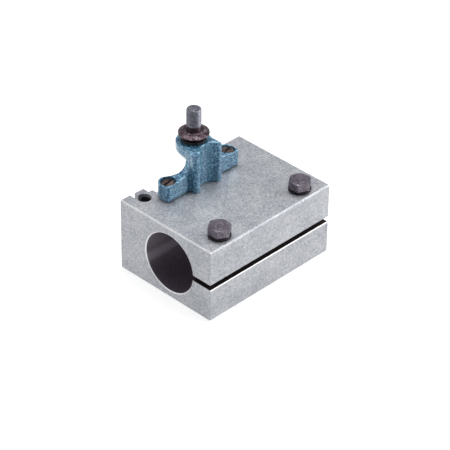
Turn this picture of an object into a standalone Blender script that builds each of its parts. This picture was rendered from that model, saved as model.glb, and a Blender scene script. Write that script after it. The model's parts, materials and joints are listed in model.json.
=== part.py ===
"""Quick-change boring-bar holder for a serrated lathe tool post.

A ground steel block with a through bore is split at the front, so that two hexagon bolts
close it on a boring bar.  Its back carries the serrated seat and the two hook grooves that
the post's claws pull on.  A cast bracket on top holds the height-adjusting stud.

Frame: metres, +Z up, +X along the bore, the slotted front faces -Y, the post side faces +Y.
The origin is the centre of the block's bottom face.
"""
import math

import bmesh
import bpy

MM = 0.001
PART_NAME = "boring_bar_holder"
GAP = 0.3                       # air left between pieces that touch, in mm
OVERRUN = 4.0                   # how far a cutter runs past the face it leaves by, in mm

# Block, in mm.
BLOCK_LENGTH = 102.5
BLOCK_DEPTH = 77.0
BLOCK_HEIGHT = 50.0
FRONT_CHAMFER = 1.0             # top and bottom edges of the front
LEFT_CHAMFER = 0.7              # the same of the left end
RIGHT_CHAMFER = 0.3

BORE_RADIUS = 20.0
BORE_Y = -3.4
BORE_Z = 25.0
BORE_CHAMFER = 0.5

SLOT_WIDTH = 3.7
SLOT_Z = 24.6

# Serrated seat for the post, in mm and degrees.  The post's axis is vertical.
POST_X = -3.0
POST_Y = 60.1
SEAT_RIDGE_RADIUS = 38.0        # the ridges' crests
SEAT_GROOVE_RADIUS = 40.4       # the grooves' bottoms
SEAT_PITCH = 9.0                # 40 teeth round the post
SEAT_GROOVES_EACH_SIDE = 5
SEAT_FLAT = 0.68                # width of the flat on each crest and each groove bottom

# Hook grooves for the claws, mirrored about the post's axis, in mm.
HOOK_HOLE_OFFSET = 36.0
HOOK_HOLE_Y = 30.4
HOOK_HOLE_RADIUS = 4.4
HOOK_LIP_END = 36.9             # free end of the lip
HOOK_LIP_ROOT = 29.8
HOOK_LIP_INSET = 0.4            # the lip stands this much behind the ears
HOOK_STEP_Y = 33.2              # the land between the lip and the seat

# Clamp bolts (M8) and their spring washers, in mm.
CLAMP_BOLT_X = 34.6
CLAMP_BOLT_Y = -29.0
CLAMP_BOLT_TWIST = {"left": 33.0, "right": 35.0}
M8_RADIUS = 4.0
M8_CLEARANCE_RADIUS = 4.45
M8_TAPPED_RADIUS = 4.3
M8_FLATS = 13.0
M8_HEAD_HEIGHT = 5.4
HEAD_CHAMFER_RADIUS = 6.2       # a hexagon's corners are turned off outside this radius
HEAD_CHAMFER_ANGLE = 27.0
CLAMP_BOLT_LENGTH = 40.0
CLAMP_HOLE_BOTTOM = 8.0
SPRING_WASHER_OUTER = 7.1
SPRING_WASHER_INNER = 4.35
SPRING_WASHER_THICKNESS = 1.6
SPRING_WASHER_SPLIT = 14.0      # half the split's angle, in degrees

# Cast bracket: feet, column with two ribs and a flute between them, and the stud's boss.
FOOT_HALF_SPAN = 30.5
FOOT_FRONT_Y = 15.5
FOOT_BACK_Y = 26.8
FOOT_END_HEIGHT = 11.4
FOOT_ROOT_HEIGHT = 12.3
FOOT_CORNER = 1.2
FOOT_BACK_CORNER = 4.0
FILLET_RADIUS = 8.0
COLUMN_HALF_WIDTH = 11.6
RIB_OFFSET = 9.5
RIB_RADIUS = 2.5
RIB_Y = 13.5
RIB_INNER_RADIUS = 0.7          # rounding between a rib's front and the flute
FLUTE_RADIUS = 8.8
FLUTE_Y = 6.8
SHOULDER_RADIUS = 4.8           # rounding of the column's top corners, seen from the front
BRACKET_HEIGHT = 28.8
POST_CLEARANCE_RADIUS = 41.5
POST_CLEARANCE_HEIGHT = 21.3
BOSS_RADIUS = 11.3
BOSS_FRONT_Y = 17.5             # the boss starts inside the column, behind the flute
BOSS_NECK_RADIUS = 6.8
BOSS_NECK_HEIGHT = 16.5
BOSS_CONE_HEIGHT = 7.2          # from the neck up to the boss's straight side
BOSS_UNDER_RADIUS = 3.6         # rounding between that side and the cone
TOP_EDGE = 1.2                  # rounding of the casting's top edge
STUD_Y = 24.6

# Bracket screws: M5 slotted cheese heads, in mm.
BRACKET_SCREW_OFFSET = 25.2
BRACKET_SCREW_Y = 20.9
BRACKET_SCREW_TWIST = {"left": 9.0, "right": 23.0}
COUNTERBORE_RADIUS = 4.75
COUNTERBORE_SEAT = 7.2
M5_RADIUS = 2.5
M5_HOLE_RADIUS = 2.85
CHEESE_HEAD_RADIUS = 4.25
CHEESE_HEAD_HEIGHT = 3.3
BRACKET_SCREW_LENGTH = 24.0
DRIVE_SLOT_WIDTH = 1.6
DRIVE_SLOT_DEPTH = 1.5

# Height-adjusting stud, its lock nut and washer, in mm above the block's bottom.
STUD_RADIUS = 4.65
STUD_HOLE_RADIUS = 5.0
STUD_BOTTOM = 55.0
STUD_TOP = 100.4
STUD_CHAMFER = 0.8
NUT_FLATS = 13.2
NUT_BOTTOM = 83.3
NUT_TOP = 86.2
NUT_FLANGE_RADIUS = 9.7
NUT_FLANGE_EDGE = 0.8
NUT_CONE_TOP = 1.7
NUT_CONE_RADIUS = 6.2           # where the flange's cone ends, inside the hexagon
NUT_CHAMFER_RADIUS = 6.4
NUT_TWIST = 14.0
NUT_HEX_START = 0.6             # the hexagon starts inside the flange's rim
PLAIN_WASHER_OUTER = 8.0
PLAIN_WASHER_THICKNESS = 1.6

ROUND_STEPS = 32


# ---------------------------------------------------------------- scene and materials

def clear_scene():
    for item in list(bpy.data.objects):
        bpy.data.objects.remove(item, do_unlink=True)
    for item in list(bpy.data.collections):
        bpy.data.collections.remove(item)


def make_collection(name):
    collection = bpy.data.collections.new(name)
    bpy.context.scene.collection.children.link(collection)
    return collection


def make_material(name, colour, roughness, metallic):
    material = bpy.data.materials.new(name)
    material.use_nodes = True
    shader = material.node_tree.nodes["Principled BSDF"]
    shader.inputs["Base Color"].default_value = (*colour, 1.0)
    shader.inputs["Roughness"].default_value = roughness
    shader.inputs["Metallic"].default_value = metallic
    material.diffuse_color = (*colour, 1.0)
    return material


def put_in(item, collection):
    for owner in list(item.users_collection):
        owner.objects.unlink(item)
    collection.objects.link(item)


# ---------------------------------------------------------------- outlines

def arc(centre, radius, start, end, steps):
    """Points of an arc from the start angle to the end angle, in degrees, both ends included."""
    points = []
    for step in range(steps + 1):
        angle = math.radians(start + (end - start) * step / steps)
        x = centre[0] + radius * math.cos(angle)
        y = centre[1] + radius * math.sin(angle)
        points.append((x, y))
    return points


def mirrored(points):
    """The outline continued by its mirror image in x = 0, in reverse order."""
    return points + [(-x, y) for x, y in reversed(points)]


def offset(points, x, y=0.0):
    return [(px + x, py + y) for px, py in points]


def polar(radius, degrees, tangent):
    """A point seen from the post's axis: 0 degrees is towards -Y, and angles grow towards -X."""
    angle = math.radians(degrees)
    x = -radius * math.sin(angle) - tangent * math.cos(angle)
    y = POST_Y - radius * math.cos(angle) + tangent * math.sin(angle)
    return (x, y)


# ---------------------------------------------------------------- solids

def weld(mesh):
    model = bmesh.new()
    model.from_mesh(mesh)
    bmesh.ops.remove_doubles(model, verts=model.verts, dist=1e-6)
    bmesh.ops.dissolve_limit(model, angle_limit=math.radians(0.5), verts=model.verts,
                             edges=model.edges)
    bmesh.ops.recalc_face_normals(model, faces=model.faces)
    model.to_mesh(mesh)
    model.free()


def extrude_outline(name, points, low, high, collection):
    """A closed outline in mm, in the XY plane, made solid between two heights."""
    curve = bpy.data.curves.new(name, "CURVE")
    curve.dimensions = "2D"
    curve.fill_mode = "BOTH"
    curve.extrude = (high - low) / 2 * MM
    spline = curve.splines.new("POLY")
    spline.points.add(len(points) - 1)
    for point, (x, y) in zip(spline.points, points):
        point.co = (x * MM, y * MM, 0.0, 1.0)
    spline.use_cyclic_u = True
    guide = bpy.data.objects.new(name + "_outline", curve)
    bpy.context.scene.collection.objects.link(guide)
    bpy.context.view_layer.update()
    evaluated = guide.evaluated_get(bpy.context.evaluated_depsgraph_get())
    mesh = bpy.data.meshes.new_from_object(evaluated)
    mesh.name = name
    bpy.data.objects.remove(guide, do_unlink=True)
    weld(mesh)
    item = bpy.data.objects.new(name, mesh)
    item.location.z = (high + low) / 2 * MM
    collection.objects.link(item)
    return item


def turn_profile(name, profile, collection, steps=ROUND_STEPS, ring=False):
    """A turned solid about Z.  The profile holds (radius, height) in mm, from top to bottom."""
    mesh = bpy.data.meshes.new(name)
    vertices = [(radius * MM, 0.0, height * MM) for radius, height in profile]
    edges = [(index, index + 1) for index in range(len(profile) - 1)]
    if ring:
        edges.append((len(profile) - 1, 0))
    mesh.from_pydata(vertices, edges, [])
    item = bpy.data.objects.new(name, mesh)
    collection.objects.link(item)
    screw = item.modifiers.new("turn", "SCREW")
    screw.axis = "Z"
    screw.angle = math.tau
    screw.steps = steps
    screw.render_steps = steps
    screw.use_merge_vertices = True
    screw.merge_threshold = 1e-6
    screw.use_smooth_shade = False
    return item


def add_box(name, low, high, collection):
    centre = [(a + b) / 2 * MM for a, b in zip(low, high)]
    bpy.ops.mesh.primitive_cube_add(size=1.0, location=centre)
    item = bpy.context.active_object
    item.name = name
    item.scale = [(b - a) * MM for a, b in zip(low, high)]
    bpy.context.view_layer.update()
    bpy.ops.object.transform_apply(location=False, rotation=False, scale=True)
    put_in(item, collection)
    return item


def add_cylinder(name, radius, low, high, x, y, collection, vertices=ROUND_STEPS):
    bpy.ops.mesh.primitive_cylinder_add(vertices=vertices, radius=radius * MM,
                                        depth=(high - low) * MM,
                                        location=(x * MM, y * MM, (low + high) / 2 * MM))
    item = bpy.context.active_object
    item.name = name
    put_in(item, collection)
    return item


def hide_cutter(item):
    item.hide_render = True
    item.display_type = "WIRE"


def combine(item, tool, operation):
    """Boolean by a cutter or a guide, which stays in the scene as a hidden wire."""
    boolean = item.modifiers.new(operation.lower() + "_" + tool.name, "BOOLEAN")
    boolean.operation = operation
    boolean.solver = "EXACT"
    boolean.object = tool
    hide_cutter(tool)


def finish(item, material, smooth_angle=35.0):
    item.data.materials.clear()
    item.data.materials.append(material)
    item.data.shade_smooth()
    item.data.set_sharp_from_angle(angle=math.radians(smooth_angle))


# ---------------------------------------------------------------- holder block

def hook_outline():
    """The right half of the back, from the ear to the land beside the seat, about the post."""
    reach = HOOK_HOLE_OFFSET + HOOK_HOLE_RADIUS
    back = BLOCK_DEPTH / 2
    lip_back = back - HOOK_LIP_INSET
    lip_angle = math.degrees(math.acos((HOOK_LIP_END - HOOK_HOLE_OFFSET) / HOOK_HOLE_RADIUS))
    hole = arc((HOOK_HOLE_OFFSET, HOOK_HOLE_Y), HOOK_HOLE_RADIUS, 0.0, lip_angle - 360.0, 20)
    points = [(reach, back)]
    points += hole
    points += [(HOOK_LIP_END, lip_back), (HOOK_LIP_ROOT, lip_back), (HOOK_LIP_ROOT, HOOK_STEP_Y)]
    return points


def seat_outline():
    """The right half of the serrated seat, from its outermost groove to the ridge on the axis."""
    half_flat = SEAT_FLAT / 2
    outermost = (SEAT_GROOVES_EACH_SIDE - 0.5) * SEAT_PITCH
    root = polar(SEAT_GROOVE_RADIUS, -outermost, -half_flat)
    flank_slope = math.tan(math.radians(outermost - 45.0))
    start_x = root[0] - flank_slope * (HOOK_STEP_Y - root[1])
    points = [(start_x, HOOK_STEP_Y)]
    for groove in range(SEAT_GROOVES_EACH_SIDE, 0, -1):
        angle = -(groove - 0.5) * SEAT_PITCH
        points.append(polar(SEAT_GROOVE_RADIUS, angle, -half_flat))
        points.append(polar(SEAT_GROOVE_RADIUS, angle, half_flat))
        crest = -(groove - 1) * SEAT_PITCH
        points.append(polar(SEAT_RIDGE_RADIUS, crest, -half_flat))
        if groove > 1:
            points.append(polar(SEAT_RIDGE_RADIUS, crest, half_flat))
    return points


def block_outline():
    half_length = BLOCK_LENGTH / 2
    half_depth = BLOCK_DEPTH / 2
    back = offset(mirrored(hook_outline() + seat_outline()), POST_X)
    corners = [(-half_length, half_depth), (-half_length, -half_depth),
               (half_length, -half_depth), (half_length, half_depth)]
    return corners + back


def chamfer_face_edges(item, axis, place, width):
    """Chamfer the top and bottom edges of the upright face where axis (0 X, 1 Y) is at place."""
    model = bmesh.new()
    model.from_mesh(item.data)
    near = 1e-5
    chosen = []
    for edge in model.edges:
        first, second = (vertex.co for vertex in edge.verts)
        level = abs(first.z - second.z) < near
        on_face = all(abs(point[axis] - place * MM) < near for point in (first, second))
        if level and on_face:
            chosen.append(edge)
    bmesh.ops.bevel(model, geom=chosen, offset=width * MM, segments=1, affect="EDGES",
                    clamp_overlap=True)
    model.to_mesh(item.data)
    model.free()


def bore_cutter(cutters):
    """The bore, turned about Z with a chamfer at both mouths and then laid along X."""
    half = BLOCK_LENGTH / 2
    flare = OVERRUN + BORE_CHAMFER
    profile = [(0.0, half + OVERRUN), (BORE_RADIUS + flare, half + OVERRUN),
               (BORE_RADIUS, half - BORE_CHAMFER), (BORE_RADIUS, BORE_CHAMFER - half),
               (BORE_RADIUS + flare, -half - OVERRUN), (0.0, -half - OVERRUN)]
    cutter = turn_profile("cut_bore", profile, cutters, 72)
    cutter.rotation_euler = (0.0, math.pi / 2, 0.0)
    cutter.location = (0.0, BORE_Y * MM, BORE_Z * MM)
    return cutter


def make_block(parts, cutters, steel):
    block = extrude_outline("holder_block", block_outline(), 0.0, BLOCK_HEIGHT, parts)
    chamfer_face_edges(block, 1, -BLOCK_DEPTH / 2, FRONT_CHAMFER)
    chamfer_face_edges(block, 0, -BLOCK_LENGTH / 2, LEFT_CHAMFER)
    chamfer_face_edges(block, 0, BLOCK_LENGTH / 2, RIGHT_CHAMFER)
    combine(block, bore_cutter(cutters), "DIFFERENCE")
    reach = BLOCK_LENGTH / 2 + OVERRUN
    slot = add_box("cut_clamp_slot",
                   (-reach, -BLOCK_DEPTH / 2 - OVERRUN, SLOT_Z - SLOT_WIDTH / 2),
                   (reach, BORE_Y, SLOT_Z + SLOT_WIDTH / 2), cutters)
    combine(block, slot, "DIFFERENCE")
    for side, sign in (("left", -1), ("right", 1)):
        x = sign * CLAMP_BOLT_X
        upper = add_cylinder("cut_clamp_clearance_" + side, M8_CLEARANCE_RADIUS, SLOT_Z,
                             BLOCK_HEIGHT + OVERRUN, x, CLAMP_BOLT_Y, cutters)
        combine(block, upper, "DIFFERENCE")
        lower = add_cylinder("cut_clamp_thread_" + side, M8_TAPPED_RADIUS, CLAMP_HOLE_BOTTOM,
                             SLOT_Z + GAP, x, CLAMP_BOLT_Y, cutters)
        combine(block, lower, "DIFFERENCE")
        x = POST_X + sign * BRACKET_SCREW_OFFSET
        bottom = BLOCK_HEIGHT + COUNTERBORE_SEAT - BRACKET_SCREW_LENGTH - 2.0
        tapped = add_cylinder("cut_bracket_thread_" + side, M5_HOLE_RADIUS, bottom,
                              BLOCK_HEIGHT + OVERRUN, x, BRACKET_SCREW_Y, cutters)
        combine(block, tapped, "DIFFERENCE")
    finish(block, steel)
    return block


# ---------------------------------------------------------------- cast bracket

def foot_outline():
    """Front view of the feet: the right half, from the end up to the fillet's top."""
    fillet_x = COLUMN_HALF_WIDTH + FILLET_RADIUS - 0.15
    fillet_z = FOOT_ROOT_HEIGHT + FILLET_RADIUS
    points = [(FOOT_HALF_SPAN, GAP), (FOOT_HALF_SPAN, FOOT_END_HEIGHT)]
    points += arc((fillet_x, fillet_z), FILLET_RADIUS, -90.0, -180.0, 10)
    return mirrored(points)


def column_outline():
    """Plan of the column: the right half, from the back, round the rib and into the flute."""
    front = RIB_Y - RIB_RADIUS
    inner_y = front + RIB_INNER_RADIUS
    reach = FLUTE_RADIUS + RIB_INNER_RADIUS
    inner_x = math.sqrt(reach ** 2 - (inner_y - FLUTE_Y) ** 2)
    leave = math.degrees(math.atan2(inner_y - FLUTE_Y, inner_x))
    points = [(BOSS_RADIUS - 0.6, STUD_Y), (COLUMN_HALF_WIDTH, FOOT_FRONT_Y - 0.7)]
    points += arc((RIB_OFFSET, RIB_Y), RIB_RADIUS, 360.0, 270.0, 6)
    points += arc((inner_x, inner_y), RIB_INNER_RADIUS, 270.0, 180.0 + leave, 3)
    points += arc((0.0, FLUTE_Y), FLUTE_RADIUS, leave, 90.0, 8)[1:-1]
    outline = points + [(0.0, FLUTE_Y + FLUTE_RADIUS)]
    outline += [(-x, y) for x, y in reversed(points)]
    return outline


def shoulder_outline():
    """Front view of the space the column keeps: its top corners are rounded."""
    side = RIB_OFFSET + RIB_RADIUS
    centre = (side - SHOULDER_RADIUS, BRACKET_HEIGHT - SHOULDER_RADIUS)
    points = [(side + 1.0, -OVERRUN), (side + 1.0, centre[1] - OVERRUN)]
    points.append((side + 0.1, centre[1] - 2.0))
    points += arc(centre, SHOULDER_RADIUS, 0.0, 90.0, 6)
    return mirrored(points)


def round_top(column):
    """Round the column's top edge all the way round."""
    model = bmesh.new()
    model.from_mesh(column.data)
    top = max(vertex.co.z for vertex in model.verts)
    chosen = []
    for edge in model.edges:
        if all(top - vertex.co.z < 1e-5 for vertex in edge.verts):
            chosen.append(edge)
    bmesh.ops.bevel(model, geom=chosen, offset=TOP_EDGE * MM, segments=2, profile=0.5,
                    affect="EDGES", clamp_overlap=True)
    model.to_mesh(column.data)
    model.free()


def make_feet(parts):
    """The feet and both fillets as one slab, laid upright from its front view."""
    feet = extrude_outline("height_bracket", foot_outline(), FOOT_FRONT_Y, FOOT_BACK_Y, parts)
    feet.rotation_euler = (math.pi / 2, 0.0, 0.0)
    feet.location = (POST_X * MM, (FOOT_FRONT_Y + FOOT_BACK_Y) / 2 * MM, BLOCK_HEIGHT * MM)
    bpy.context.view_layer.update()
    round_corners(feet)
    return feet


def round_corners(feet):
    """Round the feet's upright corners, more at the back than at the front."""
    model = bmesh.new()
    model.from_mesh(feet.data)
    end = FOOT_HALF_SPAN * MM
    half = (FOOT_BACK_Y - FOOT_FRONT_Y) / 2 * MM
    for depth, radius, steps in ((half, FOOT_CORNER, 3), (-half, FOOT_BACK_CORNER, 5)):
        chosen = []
        for edge in model.edges:
            places = [vertex.co for vertex in edge.verts]
            upright = all(abs(abs(place.x) - end) < 1e-5 for place in places)
            if upright and all(abs(place.z - depth) < 1e-5 for place in places):
                chosen.append(edge)
        bmesh.ops.bevel(model, geom=chosen, offset=radius * MM, segments=steps, profile=0.5,
                        affect="EDGES", clamp_overlap=True)
    model.to_mesh(feet.data)
    model.free()


def make_shoulders(cutters):
    """The upright slab whose rounded corners shape the column's top."""
    slab = extrude_outline("keep_shoulders", shoulder_outline(), -STUD_Y - 5.0, 0.0, cutters)
    slab.rotation_euler = (math.pi / 2, 0.0, 0.0)
    slab.location = (POST_X * MM, (STUD_Y + 5.0) / 2 * MM, BLOCK_HEIGHT * MM)
    return slab


def make_boss(cutters):
    """The round boss with its coned underside, without the part that would fill the flute."""
    top = BLOCK_HEIGHT + BRACKET_HEIGHT
    low = BLOCK_HEIGHT + BOSS_NECK_HEIGHT
    under = low + BOSS_CONE_HEIGHT
    profile = [(0.0, top)]
    profile += arc((BOSS_RADIUS - TOP_EDGE, top - TOP_EDGE), TOP_EDGE, 90.0, 0.0, 3)
    profile += arc((BOSS_RADIUS - BOSS_UNDER_RADIUS, under), BOSS_UNDER_RADIUS, 0.0, -50.0, 4)
    profile += [(BOSS_NECK_RADIUS, low), (0.0, low)]
    boss = turn_profile("add_boss", profile, cutters, 40)
    boss.location = (POST_X * MM, STUD_Y * MM, 0.0)
    front = add_box("cut_boss_front",
                    (POST_X - BOSS_RADIUS - 1.0, STUD_Y - BOSS_RADIUS - 1.0, low - 1.0),
                    (POST_X + BOSS_RADIUS + 1.0, BOSS_FRONT_Y, top + 1.0), cutters)
    combine(boss, front, "DIFFERENCE")
    return boss


def make_bracket(parts, cutters, paint):
    bracket = make_feet(parts)
    column = extrude_outline("add_column", column_outline(), BLOCK_HEIGHT + GAP,
                             BLOCK_HEIGHT + BRACKET_HEIGHT, cutters)
    column.location.x = POST_X * MM
    round_top(column)
    combine(column, make_shoulders(cutters), "INTERSECT")
    combine(bracket, column, "UNION")
    post = add_cylinder("cut_post_clearance", POST_CLEARANCE_RADIUS, BLOCK_HEIGHT - OVERRUN,
                        BLOCK_HEIGHT + POST_CLEARANCE_HEIGHT, POST_X, POST_Y, cutters, 120)
    combine(bracket, post, "DIFFERENCE")
    top = BLOCK_HEIGHT + BRACKET_HEIGHT
    boss = make_boss(cutters)
    combine(bracket, boss, "UNION")
    hole = add_cylinder("cut_stud_hole", STUD_HOLE_RADIUS, BLOCK_HEIGHT - OVERRUN,
                        top + OVERRUN, POST_X, STUD_Y, cutters)
    combine(bracket, hole, "DIFFERENCE")
    for side, sign in (("left", -1), ("right", 1)):
        x = POST_X + sign * BRACKET_SCREW_OFFSET
        seat = add_cylinder("cut_counterbore_" + side, COUNTERBORE_RADIUS,
                            BLOCK_HEIGHT + COUNTERBORE_SEAT,
                            BLOCK_HEIGHT + FOOT_ROOT_HEIGHT + OVERRUN, x, BRACKET_SCREW_Y,
                            cutters)
        combine(bracket, seat, "DIFFERENCE")
        through = add_cylinder("cut_screw_hole_" + side, M5_HOLE_RADIUS,
                               BLOCK_HEIGHT - OVERRUN,
                               BLOCK_HEIGHT + COUNTERBORE_SEAT + GAP, x, BRACKET_SCREW_Y,
                               cutters)
        combine(bracket, through, "DIFFERENCE")
    finish(bracket, paint, 30.0)
    return bracket


# ---------------------------------------------------------------- fasteners

def hexagon(name, flats, low, high, collection):
    """A hexagonal prism about Z."""
    return add_cylinder(name, flats / math.sqrt(3.0), low, high, 0.0, 0.0, collection, 6)


def chamfer_tool(name, flats, radius, low, high, collection):
    """The turned solid that leaves a hexagon with its top corners chamfered."""
    reach = flats / math.sqrt(3.0) + OVERRUN
    drop = (reach - radius) * math.tan(math.radians(HEAD_CHAMFER_ANGLE))
    profile = [(0.0, high), (radius, high), (reach, high - drop), (reach, low), (0.0, low)]
    return turn_profile(name, profile, collection, 48)


def make_clamp_bolt(side, sign, parts, cutters, black):
    """Chamfered hexagon head, joined to a plain shank."""
    seat = BLOCK_HEIGHT + GAP + SPRING_WASHER_THICKNESS + GAP
    top = seat + M8_HEAD_HEIGHT
    bolt = hexagon("clamp_bolt_" + side, M8_FLATS, seat, top, parts)
    dome = chamfer_tool("keep_head_" + side, M8_FLATS, HEAD_CHAMFER_RADIUS, seat - OVERRUN, top,
                        cutters)
    shank_profile = [(0.0, seat + 1.0), (M8_RADIUS, seat + 1.0),
                     (M8_RADIUS, seat - CLAMP_BOLT_LENGTH + 1.0),
                     (M8_RADIUS - 1.0, seat - CLAMP_BOLT_LENGTH),
                     (0.0, seat - CLAMP_BOLT_LENGTH)]
    shank = turn_profile("add_shank_" + side, shank_profile, cutters)
    x = sign * CLAMP_BOLT_X
    for item in (bolt, dome, shank):
        item.location.x = x * MM
        item.location.y = CLAMP_BOLT_Y * MM
        item.rotation_euler.z = math.radians(CLAMP_BOLT_TWIST[side] - 30.0)
    combine(bolt, dome, "INTERSECT")
    combine(bolt, shank, "UNION")
    finish(bolt, black)
    return bolt


def make_spring_washer(side, sign, parts, black):
    """A split ring under the bolt's head."""
    outer = arc((0.0, 0.0), SPRING_WASHER_OUTER, SPRING_WASHER_SPLIT,
                360.0 - SPRING_WASHER_SPLIT / 2, 30)
    inner = arc((0.0, 0.0), SPRING_WASHER_INNER, 360.0 - SPRING_WASHER_SPLIT / 2,
                SPRING_WASHER_SPLIT, 24)
    low = BLOCK_HEIGHT + GAP
    washer = extrude_outline("clamp_washer_" + side, outer + inner, low,
                             low + SPRING_WASHER_THICKNESS, parts)
    washer.location.x = sign * CLAMP_BOLT_X * MM
    washer.location.y = CLAMP_BOLT_Y * MM
    washer.rotation_euler.z = math.radians(60.0 if side == "left" else 85.0)
    finish(washer, black)
    return washer


def make_bracket_screw(side, sign, parts, cutters, steel):
    """Slotted cheese-head screw standing in its counterbore."""
    seat = BLOCK_HEIGHT + COUNTERBORE_SEAT + GAP
    top = seat + CHEESE_HEAD_HEIGHT
    profile = [(0.0, top), (CHEESE_HEAD_RADIUS - 0.4, top),
               (CHEESE_HEAD_RADIUS, top - 0.4), (CHEESE_HEAD_RADIUS, seat),
               (M5_RADIUS, seat), (M5_RADIUS, seat - BRACKET_SCREW_LENGTH + 0.8),
               (M5_RADIUS - 0.8, seat - BRACKET_SCREW_LENGTH),
               (0.0, seat - BRACKET_SCREW_LENGTH)]
    screw = turn_profile("bracket_screw_" + side, profile, parts)
    drive = add_box("cut_drive_slot_" + side,
                    (-2 * CHEESE_HEAD_RADIUS, -DRIVE_SLOT_WIDTH / 2, top - DRIVE_SLOT_DEPTH),
                    (2 * CHEESE_HEAD_RADIUS, DRIVE_SLOT_WIDTH / 2, top + 1.0), cutters)
    x = POST_X + sign * BRACKET_SCREW_OFFSET
    for item in (screw, drive):
        item.location.x = x * MM
        item.location.y = BRACKET_SCREW_Y * MM
        item.rotation_euler.z = math.radians(BRACKET_SCREW_TWIST[side])
    combine(screw, drive, "DIFFERENCE")
    finish(screw, steel)
    return screw


def make_stud(parts, steel):
    profile = [(0.0, STUD_TOP), (STUD_RADIUS - STUD_CHAMFER, STUD_TOP),
               (STUD_RADIUS, STUD_TOP - STUD_CHAMFER), (STUD_RADIUS, STUD_BOTTOM + STUD_CHAMFER),
               (STUD_RADIUS - STUD_CHAMFER, STUD_BOTTOM), (0.0, STUD_BOTTOM)]
    stud = turn_profile("height_stud", profile, parts)
    stud.location = (POST_X * MM, STUD_Y * MM, 0.0)
    finish(stud, steel)
    return stud


def make_stud_washer(parts, black):
    low = BLOCK_HEIGHT + BRACKET_HEIGHT + GAP
    outer = [(PLAIN_WASHER_OUTER, low + PLAIN_WASHER_THICKNESS), (PLAIN_WASHER_OUTER, low)]
    inner = [(STUD_HOLE_RADIUS, low), (STUD_HOLE_RADIUS, low + PLAIN_WASHER_THICKNESS)]
    washer = turn_profile("stud_washer", outer + inner, parts, ring=True)
    washer.location = (POST_X * MM, STUD_Y * MM, 0.0)
    finish(washer, black)
    return washer


def make_lock_nut(parts, cutters, black):
    """Hexagon joined to a coned flange, with the stud's hole through both."""
    nut = hexagon("lock_nut", NUT_FLATS, NUT_BOTTOM + NUT_HEX_START, NUT_TOP, parts)
    dome = chamfer_tool("keep_nut", NUT_FLATS, NUT_CHAMFER_RADIUS, NUT_BOTTOM - OVERRUN, NUT_TOP,
                        cutters)
    flange_profile = [(0.0, NUT_BOTTOM + NUT_CONE_TOP),
                      (NUT_CONE_RADIUS, NUT_BOTTOM + NUT_CONE_TOP),
                      (NUT_FLANGE_RADIUS, NUT_BOTTOM + NUT_FLANGE_EDGE),
                      (NUT_FLANGE_RADIUS, NUT_BOTTOM), (0.0, NUT_BOTTOM)]
    flange = turn_profile("add_flange", flange_profile, cutters, 40)
    hole = add_cylinder("cut_nut_hole", STUD_HOLE_RADIUS, NUT_BOTTOM - OVERRUN,
                        NUT_TOP + OVERRUN, 0.0, 0.0, cutters)
    for item in (nut, dome, flange, hole):
        item.location.x = POST_X * MM
        item.location.y = STUD_Y * MM
        item.rotation_euler.z = math.radians(NUT_TWIST - 30.0)
    combine(nut, dome, "INTERSECT")
    combine(nut, flange, "UNION")
    combine(nut, hole, "DIFFERENCE")
    finish(nut, black)
    return nut


def main():
    clear_scene()
    parts = make_collection(PART_NAME)
    cutters = make_collection("cutters")
    ground_steel = make_material("ground_steel", (0.50, 0.52, 0.54), 0.38, 1.0)
    blue_paint = make_material("blue_hammered_paint", (0.085, 0.22, 0.34), 0.35, 0.2)
    blackened = make_material("blackened_steel", (0.07, 0.06, 0.07), 0.45, 0.9)
    plain_steel = make_material("plain_steel", (0.26, 0.26, 0.28), 0.5, 0.9)
    make_block(parts, cutters, ground_steel)
    make_bracket(parts, cutters, blue_paint)
    for side, sign in (("left", -1), ("right", 1)):
        make_bracket_screw(side, sign, parts, cutters, plain_steel)
        make_spring_washer(side, sign, parts, blackened)
        make_clamp_bolt(side, sign, parts, cutters, blackened)
    make_stud(parts, plain_steel)
    make_stud_washer(parts, blackened)
    make_lock_nut(parts, cutters, blackened)


main()
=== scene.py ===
"""The looks of the boring-bar holder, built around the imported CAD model.

Everything is in metres, in the CAD frame: +Z up, +X along the bore, the slotted front faces -Y.
"""
import json
import math

import bmesh
import bpy
from mathutils import Matrix, Vector, noise


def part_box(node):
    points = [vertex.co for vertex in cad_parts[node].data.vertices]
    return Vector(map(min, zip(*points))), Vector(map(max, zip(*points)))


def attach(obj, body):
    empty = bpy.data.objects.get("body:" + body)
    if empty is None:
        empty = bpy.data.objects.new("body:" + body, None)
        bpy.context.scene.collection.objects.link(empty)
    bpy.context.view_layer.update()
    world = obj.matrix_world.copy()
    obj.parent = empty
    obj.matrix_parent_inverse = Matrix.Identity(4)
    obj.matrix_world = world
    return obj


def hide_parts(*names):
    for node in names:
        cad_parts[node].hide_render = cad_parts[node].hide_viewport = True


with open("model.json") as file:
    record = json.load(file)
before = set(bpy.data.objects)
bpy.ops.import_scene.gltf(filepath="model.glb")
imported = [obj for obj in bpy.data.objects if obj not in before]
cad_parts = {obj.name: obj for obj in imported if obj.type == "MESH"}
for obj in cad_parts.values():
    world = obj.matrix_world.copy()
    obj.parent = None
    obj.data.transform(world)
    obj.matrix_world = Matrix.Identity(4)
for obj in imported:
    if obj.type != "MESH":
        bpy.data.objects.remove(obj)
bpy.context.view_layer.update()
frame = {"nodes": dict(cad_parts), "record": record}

MM = 0.001

# ---------------------------------------------------------------- places, from the frame

BLOCK_LOW, BLOCK_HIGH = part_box("holder_block")
BRACKET_LOW, BRACKET_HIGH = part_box("height_bracket")
STUD_LOW, STUD_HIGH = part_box("height_stud")
NUT_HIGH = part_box("lock_nut")[1]
STUD_AXIS = (STUD_LOW + STUD_HIGH) / 2
STUD_RADIUS = (STUD_HIGH.x - STUD_LOW.x) / 2
DARK_BAND_TOP = NUT_HIGH.z + 3.0 * MM
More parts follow.
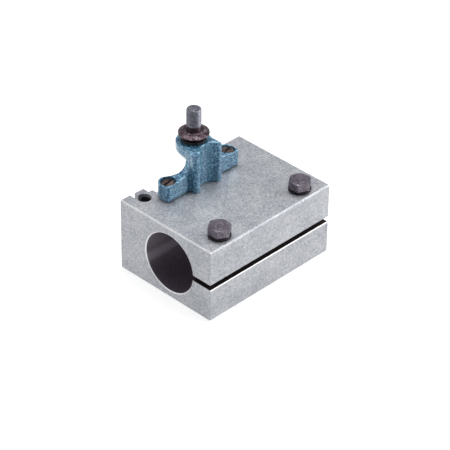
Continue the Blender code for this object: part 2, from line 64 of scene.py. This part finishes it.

# The bore's middle, as the record's opening gives it.
OPENINGS = {item["name"]: item["box_m"] for item in frame["record"]["physics"]["openings"]}
BORE_BOX = OPENINGS["bar_bore"]
BORE_Y = (BORE_BOX[0][1] + BORE_BOX[1][1]) / 2
BORE_Z = (BORE_BOX[0][2] + BORE_BOX[1][2]) / 2
BORE_RADIUS = 20.0 * MM
BAND_ANGLE = -0.30              # radians above +Y where the painted reflection band on the bore lies

# The slot and the two hook holes beside the seat, from the part's own dimensions.
SLOT_LOW = 22.75 * MM
SLOT_HIGH = 26.45 * MM
SLOT_MIDDLE = (SLOT_LOW + SLOT_HIGH) / 2
HALF_SLOT = (SLOT_HIGH - SLOT_LOW) / 2
HOOK_X = 36.0 * MM
HOOK_Y = 30.4 * MM
HOOK_RADIUS = 4.4 * MM

# ---------------------------------------------------------------- detail sizes

LIP_CHAMFER = 0.45 * MM
BLOCK_EDGE = 0.25 * MM
HEXAGON_EDGE = 0.2 * MM
SMALL_EDGE = 0.15 * MM
EDGE_SEGMENTS = 2
SHARP_ANGLE = math.radians(28.0)    # edges that turn by more than this are rounded
WELD_DISTANCE = 0.001 * MM
FLAT_ANGLE = math.radians(0.8)      # faces that turn by less than this become one
NEAR = 0.01 * MM                    # closer than this counts as the same place
LIP_SEARCH = 0.2 * MM
BRACKET_VOXEL = 0.36 * MM
CASTING_SMOOTHING = 9
PAINT_SINK = 0.03 * MM              # brings the dimpled skin back inside the casting's size
SOLE_HEIGHT = 0.25 * MM             # the feet are pressed flat below this height
COARSE_DIMPLE = 1.7 * MM
COARSE_HEIGHT = 0.065 * MM
FINE_DIMPLE = 0.8 * MM
FINE_HEIGHT = 0.03 * MM
FINE_SHIFT = Vector((7.0, 3.0, 5.0))
THREAD_PITCH = 1.25 * MM
THREAD_DEPTH = 0.42                 # of the pitch
THREAD_FLANK = 2.6                  # how steeply the ridge rises, in ridge heights a pitch
THREAD_CHAMFER = 0.5 * MM
THREAD_SHARP_ANGLE = math.radians(50.0)
ROD_SIDES = 56
RINGS_PER_TURN = 6
FLOOR_SIZE = 3.0
FLOOR_DROP = 0.2 * MM

# ---------------------------------------------------------------- camera

VIEW_TARGET = Vector((0.0088, 0.0087, 0.0172))
VIEW_DISTANCE = 1.384
VIEW_AZIMUTH = -45.82           # degrees from -Y
VIEW_ELEVATION = 35.19
VIEW_ROLL = 0.8185
LENS = 178.87                   # mm
SENSOR_WIDTH = 36.0             # mm
CLIP_START = 0.01
CLIP_END = 20.0


def add_camera():
    """A long lens looking down at the slotted front and the left end."""
    azimuth = math.radians(VIEW_AZIMUTH)
    elevation = math.radians(VIEW_ELEVATION)
    roll = math.radians(VIEW_ROLL)
    back = Vector((math.sin(azimuth) * math.cos(elevation),
                   -math.cos(azimuth) * math.cos(elevation), math.sin(elevation)))
    level = Vector((math.cos(azimuth), math.sin(azimuth), 0.0))
    up = back.cross(level)
    right = level * math.cos(roll) + up * math.sin(roll)
    top = up * math.cos(roll) - level * math.sin(roll)
    data = bpy.data.cameras.new("camera")
    data.lens = LENS
    data.sensor_width = SENSOR_WIDTH
    data.clip_start = CLIP_START
    data.clip_end = CLIP_END
    camera = bpy.data.objects.new("camera", data)
    camera.matrix_world = Matrix((
        (right.x, top.x, back.x, 0.0),
        (right.y, top.y, back.y, 0.0),
        (right.z, top.z, back.z, 0.0),
        (0.0, 0.0, 0.0, 1.0)))
    camera.location = VIEW_TARGET + back * VIEW_DISTANCE
    bpy.context.scene.collection.objects.link(camera)
    bpy.context.scene.camera = camera


# ---------------------------------------------------------------- node helpers

class Look:
    """A Principled material and the few node recipes that the finishes below share."""

    def __init__(self, name, metallic, roughness):
        self.material = bpy.data.materials.new(name)
        self.material.use_nodes = True
        self.tree = self.material.node_tree
        self.shader = self.tree.nodes["Principled BSDF"]
        self.shader.inputs["Metallic"].default_value = metallic
        self.shader.inputs["Roughness"].default_value = roughness
        self.place = self.tree.nodes.new("ShaderNodeTexCoord").outputs["Object"]

    def link(self, source, target):
        self.tree.links.new(source, target)

    def stretched(self, scale):
        """Object coordinates stretched by a factor along each axis."""
        mapping = self.tree.nodes.new("ShaderNodeMapping")
        mapping.inputs["Scale"].default_value = scale
        self.link(self.place, mapping.inputs["Vector"])
        return mapping.outputs["Vector"]

    def noise(self, size, detail=3.0, roughness=0.6, place=None):
        """Noise whose grains are about that size in metres."""
        node = self.tree.nodes.new("ShaderNodeTexNoise")
        node.inputs["Scale"].default_value = 1.0 / size
        node.inputs["Detail"].default_value = detail
        node.inputs["Roughness"].default_value = roughness
        self.link(place or self.place, node.inputs["Vector"])
        return node.outputs["Fac"]

    def cells(self, size):
        """Rounded cells of about that size, 0 at their middles."""
        node = self.tree.nodes.new("ShaderNodeTexVoronoi")
        node.feature = "SMOOTH_F1"
        node.inputs["Scale"].default_value = 1.0 / size
        node.inputs["Smoothness"].default_value = 0.4
        self.link(self.place, node.inputs["Vector"])
        return node.outputs["Distance"]

    def math(self, operation, first, second=0.0):
        """One arithmetic step on numbers or sockets."""
        node = self.tree.nodes.new("ShaderNodeMath")
        node.operation = operation
        for socket, value in zip(node.inputs, (first, second)):
            if isinstance(value, (int, float)):
                socket.default_value = value
            else:
                self.link(value, socket)
        return node.outputs["Value"]

    def add(self, first, second):
        return self.math("ADD", first, second)

    def times(self, first, second):
        return self.math("MULTIPLY", first, second)

    def apart(self, value, middle):
        """How far a value lies from a middle, either way."""
        return self.math("ABSOLUTE", self.math("SUBTRACT", value, middle))

    def length(self, first, second):
        """Length of the two sides' diagonal."""
        return self.math("SQRT", self.add(self.times(first, first), self.times(second, second)))

    def weighted(self, parts):
        """Sum of a list of (value, weight)."""
        total = None
        for value, weight in parts:
            share = self.times(value, weight)
            total = share if total is None else self.add(total, share)
        return total

    def remap(self, value, low, high, to_low=0.0, to_high=1.0):
        """A smooth step from to_low to to_high as the value goes from low to high."""
        node = self.tree.nodes.new("ShaderNodeMapRange")
        node.interpolation_type = "SMOOTHSTEP"
        node.inputs["From Min"].default_value = low
        node.inputs["From Max"].default_value = high
        node.inputs["To Min"].default_value = to_low
        node.inputs["To Max"].default_value = to_high
        self.link(value, node.inputs["Value"])
        return node.outputs["Result"]

    def below(self, value, full, none):
        """1 up to full, fading to 0 at none."""
        return self.remap(value, full, none, 1.0, 0.0)

    def ramp(self, value, stops):
        """A colour ramp from a list of (position, colour)."""
        node = self.tree.nodes.new("ShaderNodeValToRGB")
        band = node.color_ramp
        while len(band.elements) < len(stops):
            band.elements.new(0.5)
        for element, (position, colour) in zip(band.elements, stops):
            element.position = position
            element.color = (*colour, 1.0)
        self.link(value, node.inputs["Fac"])
        return node.outputs["Color"]

    def mix(self, factor, first, second):
        """The first colour where the factor is 0, the second where it is 1."""
        node = self.tree.nodes.new("ShaderNodeMix")
        node.data_type = "RGBA"
        for socket, value in ((node.inputs[0], factor), (node.inputs[6], first),
                              (node.inputs[7], second)):
            if isinstance(value, tuple):
                socket.default_value = (*value, 1.0)
            elif isinstance(value, (int, float)):
                socket.default_value = value
            else:
                self.link(value, socket)
        return node.outputs[2]

    def axes(self):
        """X, Y and Z in metres."""
        node = self.tree.nodes.new("ShaderNodeSeparateXYZ")
        self.link(self.place, node.inputs["Vector"])
        return node.outputs["X"], node.outputs["Y"], node.outputs["Z"]

    def bump(self, heights):
        """Chained bumps from a list of (height, distance in metres, strength)."""
        normal = None
        for height, distance, strength in heights:
            node = self.tree.nodes.new("ShaderNodeBump")
            node.inputs["Distance"].default_value = distance
            node.inputs["Strength"].default_value = strength
            self.link(height, node.inputs["Height"])
            if normal is not None:
                self.link(normal, node.inputs["Normal"])
            normal = node.outputs["Normal"]
        self.link(normal, self.shader.inputs["Normal"])

    def colour(self, source):
        self.link(source, self.shader.inputs["Base Color"])

    def roughness(self, source):
        self.link(source, self.shader.inputs["Roughness"])


# ---------------------------------------------------------------- finishes

# Pale colour of the painted highlights on the block's edges.
PAINTED_HIGHLIGHT = (1.0, 0.99, 0.97)


def shaded_bore(look, grain, off_y, off_z):
    """Painted shade in the bore, paler towards the upper wall and along one band of painted
    reflection.
    """
    dark = look.ramp(grain, [(0.36, (0.070, 0.050, 0.075)), (0.64, (0.20, 0.165, 0.205))])
    # Painted light: paler towards the upper wall and in one band of painted reflection.
    angle = look.math("ARCTAN2", off_z, off_y)
    lighter_upper_wall = look.remap(angle, BAND_ANGLE - 0.6, BAND_ANGLE + 0.5, 0.05, 0.45)
    band = look.remap(look.apart(angle, BAND_ANGLE), 0.04, 0.22, 0.5, 0.0)
    return look.mix(look.add(lighter_upper_wall, band), dark, (0.62, 0.57, 0.64))


def slot_shade_mask(look, x, y, off_slot):
    """1 on the slot's flat walls, behind its lips and in front of the bore, where painted shade goes.
    """
    wall = look.below(off_slot, HALF_SLOT + 0.02 * MM, HALF_SLOT + 0.10 * MM)
    behind = look.remap(y, BLOCK_LOW.y + 0.5 * MM, BLOCK_LOW.y + 0.9 * MM)
    inside = look.below(look.math("ABSOLUTE", x), BLOCK_HIGH.x - 0.5 * MM,
                        BLOCK_HIGH.x - 0.2 * MM)
    ahead = look.below(y, BORE_Y, BORE_Y + 0.1 * MM)
    return look.times(look.times(wall, look.times(behind, inside)), ahead)


def hook_shade_mask(look, x, y, z):
    """1 in the two hook holes, from a little way below the top, where painted shade goes."""
    hole_x = look.math("SUBTRACT", look.math("ABSOLUTE", x), HOOK_X)
    hole_y = look.math("SUBTRACT", y, HOOK_Y)
    in_hole = look.below(look.length(hole_x, hole_y), HOOK_RADIUS + 0.05 * MM,
                         HOOK_RADIUS + 0.2 * MM)
    down = look.below(z, BLOCK_HIGH.z - 3.0 * MM, BLOCK_HIGH.z - 1.6 * MM)
    return look.times(in_hole, down)


def edge_highlight_mask(look, x, y, reach, off_slot):
    """1 on the bore's chamfers and on the slot's two lips, where painted highlights go."""
    at_end = look.remap(look.math("ABSOLUTE", x), BLOCK_HIGH.x - 0.55 * MM,
                        BLOCK_HIGH.x - 0.45 * MM)
    on_rim = look.times(at_end, look.below(reach, BORE_RADIUS + 0.5 * MM,
                                           BORE_RADIUS + 0.6 * MM))
    at_front = look.below(y, BLOCK_LOW.y + 0.40 * MM, BLOCK_LOW.y + 0.50 * MM)
    on_lip = look.times(at_front, look.below(off_slot, HALF_SLOT + 0.40 * MM,
                                             HALF_SLOT + 0.50 * MM))
    return look.math("MAXIMUM", on_rim, on_lip)


def ground_steel():
    """Ground steel: fine grain, faint grinding lines along X, painted shade in the bore, slot and
    hook holes, painted highlights on some edges.
    """
    look = Look("ground_steel", 0.62, 0.5)
    x, y, z = look.axes()
    grain = look.noise(0.7 * MM, 3.0, 0.8)
    speckle = look.noise(1.3 * MM, 2.0, 0.6)
    cloud = look.noise(16.0 * MM, 3.0, 0.55)
    lines = look.noise(0.45 * MM, 2.0, 0.6, look.stretched((0.03, 1.0, 1.0)))
    tone = look.weighted([(grain, 0.50), (cloud, 0.12), (lines, 0.13), (speckle, 0.25)])
    steel = look.ramp(tone, [(0.40, (0.235, 0.250, 0.290)), (0.50, (0.420, 0.430, 0.455)),
                             (0.60, (0.62, 0.63, 0.65))])
    off_y = look.math("SUBTRACT", y, BORE_Y)
    off_z = look.math("SUBTRACT", z, BORE_Z)
    reach = look.length(off_y, off_z)
    # Painted shade in the bore, with a painted reflection band.
    in_bore = look.below(reach, BORE_RADIUS + 0.05 * MM, BORE_RADIUS + 0.25 * MM)
    steel = look.mix(in_bore, steel, shaded_bore(look, grain, off_y, off_z))
    # Painted highlight: the chamfer along the left end's top edge is a little paler.
    left_edge_highlight = look.remap(x, BLOCK_LOW.x + 1.05 * MM, BLOCK_LOW.x + 1.25 * MM, 0.45, 0.0)
    on_top = look.remap(z, BLOCK_HIGH.z - 0.75 * MM, BLOCK_HIGH.z - 0.65 * MM)
    steel = look.mix(look.times(left_edge_highlight, on_top), steel, PAINTED_HIGHLIGHT)
    # Painted shade on the slot's walls and in the hook holes.
    off_slot = look.apart(z, SLOT_MIDDLE)
    shaded = look.math("MAXIMUM", slot_shade_mask(look, x, y, off_slot), hook_shade_mask(look, x, y, z))
    shade = look.ramp(grain, [(0.36, (0.020, 0.012, 0.014)), (0.64, (0.055, 0.040, 0.042))])
    steel = look.mix(shaded, steel, shade)
    # Painted highlights on the bore's chamfers and the slot's lips.
    look.colour(look.mix(edge_highlight_mask(look, x, y, reach, off_slot), steel, PAINTED_HIGHLIGHT))
    look.roughness(look.remap(grain, 0.3, 0.7, 0.42, 0.60))
    look.bump([(grain, 0.03 * MM, 0.35), (lines, 0.012 * MM, 0.25)])
    return look.material


def hammered_paint():
    """Blue hammered enamel: small rounded dimples, paler on their rims."""
    look = Look("hammered_paint", 0.30, 0.32)
    dimples = look.cells(1.25 * MM)
    fine = look.noise(0.9 * MM, 3.0, 0.7)
    cloud = look.noise(6.0 * MM, 2.0, 0.5)
    tone = look.weighted([(dimples, 0.45), (fine, 0.8)])
    paint = look.ramp(tone, [(0.40, (0.008, 0.045, 0.125)), (0.60, (0.046, 0.165, 0.300)),
                             (0.80, (0.24, 0.48, 0.62))])
    look.colour(look.mix(look.remap(cloud, 0.35, 0.7, 0.0, 0.25), paint, (0.06, 0.21, 0.27)))
    look.roughness(look.remap(fine, 0.3, 0.7, 0.22, 0.40))
    look.shader.inputs["Coat Weight"].default_value = 1.0
    look.shader.inputs["Coat Roughness"].default_value = 0.10
    look.bump([(dimples, 0.20 * MM, 0.5), (fine, 0.10 * MM, 0.45)])
    return look.material


def blackened_steel(name, dark, middle, pale, roughness):
    """Black oxide worn on its high spots."""
    look = Look(name, 0.7, roughness)
    fine = look.noise(0.7 * MM, 3.0, 0.75)
    patch = look.noise(2.6 * MM, 3.0, 0.6)
    tone = look.weighted([(fine, 0.6), (patch, 0.4)])
    look.colour(look.ramp(tone, [(0.38, dark), (0.50, middle), (0.62, pale)]))
    look.roughness(look.remap(patch, 0.3, 0.7, roughness - 0.08, roughness + 0.12))
    look.bump([(fine, 0.05 * MM, 0.4), (patch, 0.05 * MM, 0.3)])
    return look.material


def stud_steel():
    """The stud: mottled grey steel, dark brown up to a little above the nut."""
    look = Look("stud_grey", 0.65, 0.42)
    z = look.axes()[2]
    fine = look.noise(0.8 * MM, 3.0, 0.75)
    patch = look.noise(2.2 * MM, 3.0, 0.6)
    tone = look.weighted([(fine, 0.6), (patch, 0.4)])
    grey = look.ramp(tone, [(0.38, (0.085, 0.090, 0.120)), (0.50, (0.185, 0.190, 0.225)),
                            (0.62, (0.33, 0.335, 0.375))])
    brown = look.ramp(tone, [(0.38, (0.012, 0.004, 0.008)), (0.62, (0.060, 0.032, 0.042))])
    # Darker brown below a ragged line a little above the nut.
    edge = look.add(z, look.times(patch, 1.2 * MM))
    darkened = look.below(edge, DARK_BAND_TOP, DARK_BAND_TOP + 0.7 * MM)
    look.colour(look.mix(darkened, grey, brown))
    look.roughness(look.remap(patch, 0.3, 0.7, 0.34, 0.52))
    look.bump([(fine, 0.06 * MM, 0.45), (patch, 0.05 * MM, 0.3)])
    return look.material


# ---------------------------------------------------------------- pieces

def copy_of(node):
    """A copy of a CAD node's mesh, welded and with its flat faces whole."""
    source = frame["nodes"][node]
    piece = bpy.data.objects.new(node + "_look", source.data.copy())
    bpy.context.scene.collection.objects.link(piece)
    model = bmesh.new()
    model.from_mesh(piece.data)
    bmesh.ops.remove_doubles(model, verts=model.verts, dist=WELD_DISTANCE)
    bmesh.ops.dissolve_limit(model, angle_limit=FLAT_ANGLE, verts=model.verts,
                             edges=model.edges)
    model.to_mesh(piece.data)
    model.free()
    piece.data.materials.clear()
    return piece


def apply_modifiers(piece):
    """Replace a piece's mesh by what its modifiers make of it."""
    graph = bpy.context.evaluated_depsgraph_get()
    mesh = bpy.data.meshes.new_from_object(piece.evaluated_get(graph))
    piece.modifiers.clear()
    piece.data = mesh


def dress(piece, node, body, material):
    """Give a piece its material and put it in place of its CAD node."""
    piece.data.materials.clear()
    piece.data.materials.append(material)
    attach(piece, body)
    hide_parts(node)


def softened(node, width):
    """A CAD node's copy with its sharp edges rounded and its flat faces left flat."""
    piece = copy_of(node)
    if node == "holder_block":
        chamfer_lips(piece)
    piece.data.shade_smooth()
    piece.data.set_sharp_from_angle(angle=SHARP_ANGLE)
    bevel = piece.modifiers.new("edges", "BEVEL")
    bevel.width = width
    bevel.segments = EDGE_SEGMENTS
    bevel.limit_method = "ANGLE"
    bevel.angle_limit = SHARP_ANGLE
    bevel.use_clamp_overlap = True
    bevel.harden_normals = True
    apply_modifiers(piece)
    return piece


def chamfer_lips(piece):
    """Chamfer the slot's two long front edges."""
    model = bmesh.new()
    model.from_mesh(piece.data)
    chosen = []
    for edge in model.edges:
        first, second = (piece.matrix_world @ vertex.co for vertex in edge.verts)
        middle = (first + second) / 2
        along_x = abs(first.z - second.z) < NEAR and abs(first.y - second.y) < NEAR
        at_front = abs(middle.y - BLOCK_LOW.y) < NEAR
        at_lip = SLOT_LOW - LIP_SEARCH < middle.z < SLOT_HIGH + LIP_SEARCH
        if along_x and at_front and at_lip:
            chosen.append(edge)
    bmesh.ops.bevel(model, geom=chosen, offset=LIP_CHAMFER, segments=1, affect="EDGES")
    model.to_mesh(piece.data)
    model.free()


def hammered(place):
    """Height of the paint's skin over the casting: soft dimples a millimetre or so across."""
    coarse = noise.noise(place / COARSE_DIMPLE)
    fine = noise.noise(place / FINE_DIMPLE + FINE_SHIFT)
    return COARSE_HEIGHT * coarse + FINE_HEIGHT * fine


def cast_bracket():
    """The bracket as a casting: remeshed, smoothed so that its edges round, then hammered."""
    piece = copy_of("height_bracket")
    remesh = piece.modifiers.new("remesh", "REMESH")
    remesh.mode = "VOXEL"
    remesh.voxel_size = BRACKET_VOXEL
    smooth = piece.modifiers.new("smooth", "SMOOTH")
    smooth.factor = 0.5
    smooth.iterations = CASTING_SMOOTHING
    apply_modifiers(piece)
    mesh = piece.data
    normals = [vertex.normal.copy() for vertex in mesh.vertices]
    for vertex, normal in zip(mesh.vertices, normals):
        place = vertex.co + normal * (hammered(vertex.co) - PAINT_SINK)
        if place.z < BRACKET_LOW.z + SOLE_HEIGHT:
            place.z = BRACKET_LOW.z
        for axis in range(3):
            place[axis] = min(max(place[axis], BRACKET_LOW[axis]), BRACKET_HIGH[axis])
        vertex.co = place
    mesh.shade_smooth()
    return piece


def threaded_stud():
    """The stud as a threaded rod: rings whose radius follows a helical ridge, closed at both ends."""
    low, high = STUD_LOW.z, STUD_HIGH.z
    rings = int(round((high - low) / THREAD_PITCH * RINGS_PER_TURN))
    depth = THREAD_DEPTH * THREAD_PITCH
    model = bmesh.new()
    grid = []
    for ring in range(rings + 1):
        z = low + (high - low) * ring / rings
        end = min(z - low, high - z)
        limit = STUD_RADIUS - max(0.0, THREAD_CHAMFER - end)
        row = []
        for step in range(ROD_SIDES):
            turn = step / ROD_SIDES
            phase = (z / THREAD_PITCH - turn) % 1.0
            ridge = min(1.0, THREAD_FLANK * abs(phase - 0.5))
            around = 2 * math.pi * turn
            reach = min(limit, STUD_RADIUS - depth * (1.0 - ridge))
            row.append(model.verts.new((STUD_AXIS.x + reach * math.cos(around),
                                        STUD_AXIS.y + reach * math.sin(around), z)))
        grid.append(row)
    for lower, upper in zip(grid, grid[1:]):
        for step in range(ROD_SIDES):
            after = (step + 1) % ROD_SIDES
            model.faces.new((lower[step], lower[after], upper[after], upper[step]))
    model.faces.new(grid[-1])
    model.faces.new(tuple(reversed(grid[0])))
    mesh = bpy.data.meshes.new("height_stud_look")
    model.to_mesh(mesh)
    model.free()
    mesh.shade_smooth()
    mesh.set_sharp_from_angle(angle=THREAD_SHARP_ANGLE)
    piece = bpy.data.objects.new("height_stud_look", mesh)
    bpy.context.scene.collection.objects.link(piece)
    return piece


def main():
    add_camera()
    steel = ground_steel()
    paint = hammered_paint()
    bolt_black = blackened_steel("bolt_black", (0.065, 0.050, 0.072), (0.155, 0.135, 0.165),
                                 (0.27, 0.245, 0.275), 0.40)
    nut_brown = blackened_steel("nut_brown", (0.050, 0.026, 0.036), (0.075, 0.048, 0.060),
                                (0.34, 0.27, 0.30), 0.32)
    # The washers are near-black: black oxide, darkened further as painted shade under the nut's
    # flange and the bolt heads.
    washer_black = blackened_steel("washer_black", (0.012, 0.010, 0.012), (0.022, 0.018, 0.022),
                                   (0.05, 0.042, 0.05), 0.40)
    stud_grey = stud_steel()
    screw_brown = blackened_steel("screw_brown", (0.03, 0.02, 0.02), (0.10, 0.075, 0.065),
                                  (0.28, 0.22, 0.20), 0.45)
    dress(softened("holder_block", BLOCK_EDGE), "holder_block", "holder", steel)
    dress(cast_bracket(), "height_bracket", "holder", paint)
    for side in ("left", "right"):
        dress(softened("clamp_bolt_" + side, HEXAGON_EDGE), "clamp_bolt_" + side, side + "_bolt",
              bolt_black)
        dress(softened("clamp_washer_" + side, SMALL_EDGE), "clamp_washer_" + side,
              side + "_washer", washer_black)
        dress(softened("bracket_screw_" + side, SMALL_EDGE), "bracket_screw_" + side, "holder",
              screw_brown)
    dress(threaded_stud(), "height_stud", "stud", stud_grey)
    dress(softened("lock_nut", HEXAGON_EDGE), "lock_nut", "nut", nut_brown)
    dress(softened("stud_washer", SMALL_EDGE), "stud_washer", "holder", washer_black)
    add_floor()
    add_lights()


# ---------------------------------------------------------------- stage

def add_floor():
    """A plain pale floor that glows a little, so that it stays even around the object."""
    mesh = bpy.data.meshes.new("floor")
    model = bmesh.new()
    bmesh.ops.create_grid(model, x_segments=1, y_segments=1, size=FLOOR_SIZE)
    model.to_mesh(mesh)
    model.free()
    floor = bpy.data.objects.new("floor", mesh)
    floor.location.z = -FLOOR_DROP
    bpy.context.scene.collection.objects.link(floor)
    look = Look("floor_white", 0.0, 0.9)
    look.shader.inputs["Base Color"].default_value = (0.50, 0.50, 0.50, 1.0)
    look.shader.inputs["Specular IOR Level"].default_value = 0.0
    look.shader.inputs["Emission Color"].default_value = (1.0, 1.0, 1.0, 1.0)
    look.shader.inputs["Emission Strength"].default_value = 0.70
    floor.data.materials.append(look.material)


def add_area(name, size, power, place, aim):
    """A rectangular soft light of so many watts, turned towards a point."""
    data = bpy.data.lights.new(name, "AREA")
    data.shape = "RECTANGLE"
    data.size, data.size_y = size
    data.energy = power
    light = bpy.data.objects.new(name, data)
    light.location = place
    direction = Vector(aim) - Vector(place)
    light.rotation_euler = direction.to_track_quat("-Z", "Y").to_euler()
    bpy.context.scene.collection.objects.link(light)


def add_lights():
    """Strong soft lights at the right front and overhead, a weak one at the left back, dim room."""
    world = bpy.data.worlds.new("studio")
    world.use_nodes = True
    background = world.node_tree.nodes["Background"]
    background.inputs["Color"].default_value = (0.93, 0.95, 1.0, 1.0)
    background.inputs["Strength"].default_value = 0.30
    bpy.context.scene.world = world
    aim = (0.0, 0.0, 0.04)
    add_area("box_right", (0.9, 0.7), 9.0, (0.80, -0.62, 0.50), aim)
    add_area("box_left", (0.9, 0.7), 2.0, (-0.72, 0.62, 0.55), aim)
    add_area("overhead", (0.7, 0.7), 8.0, (0.15, 0.15, 1.1), aim)
    bpy.context.scene.view_settings.view_transform = "Standard"


main()
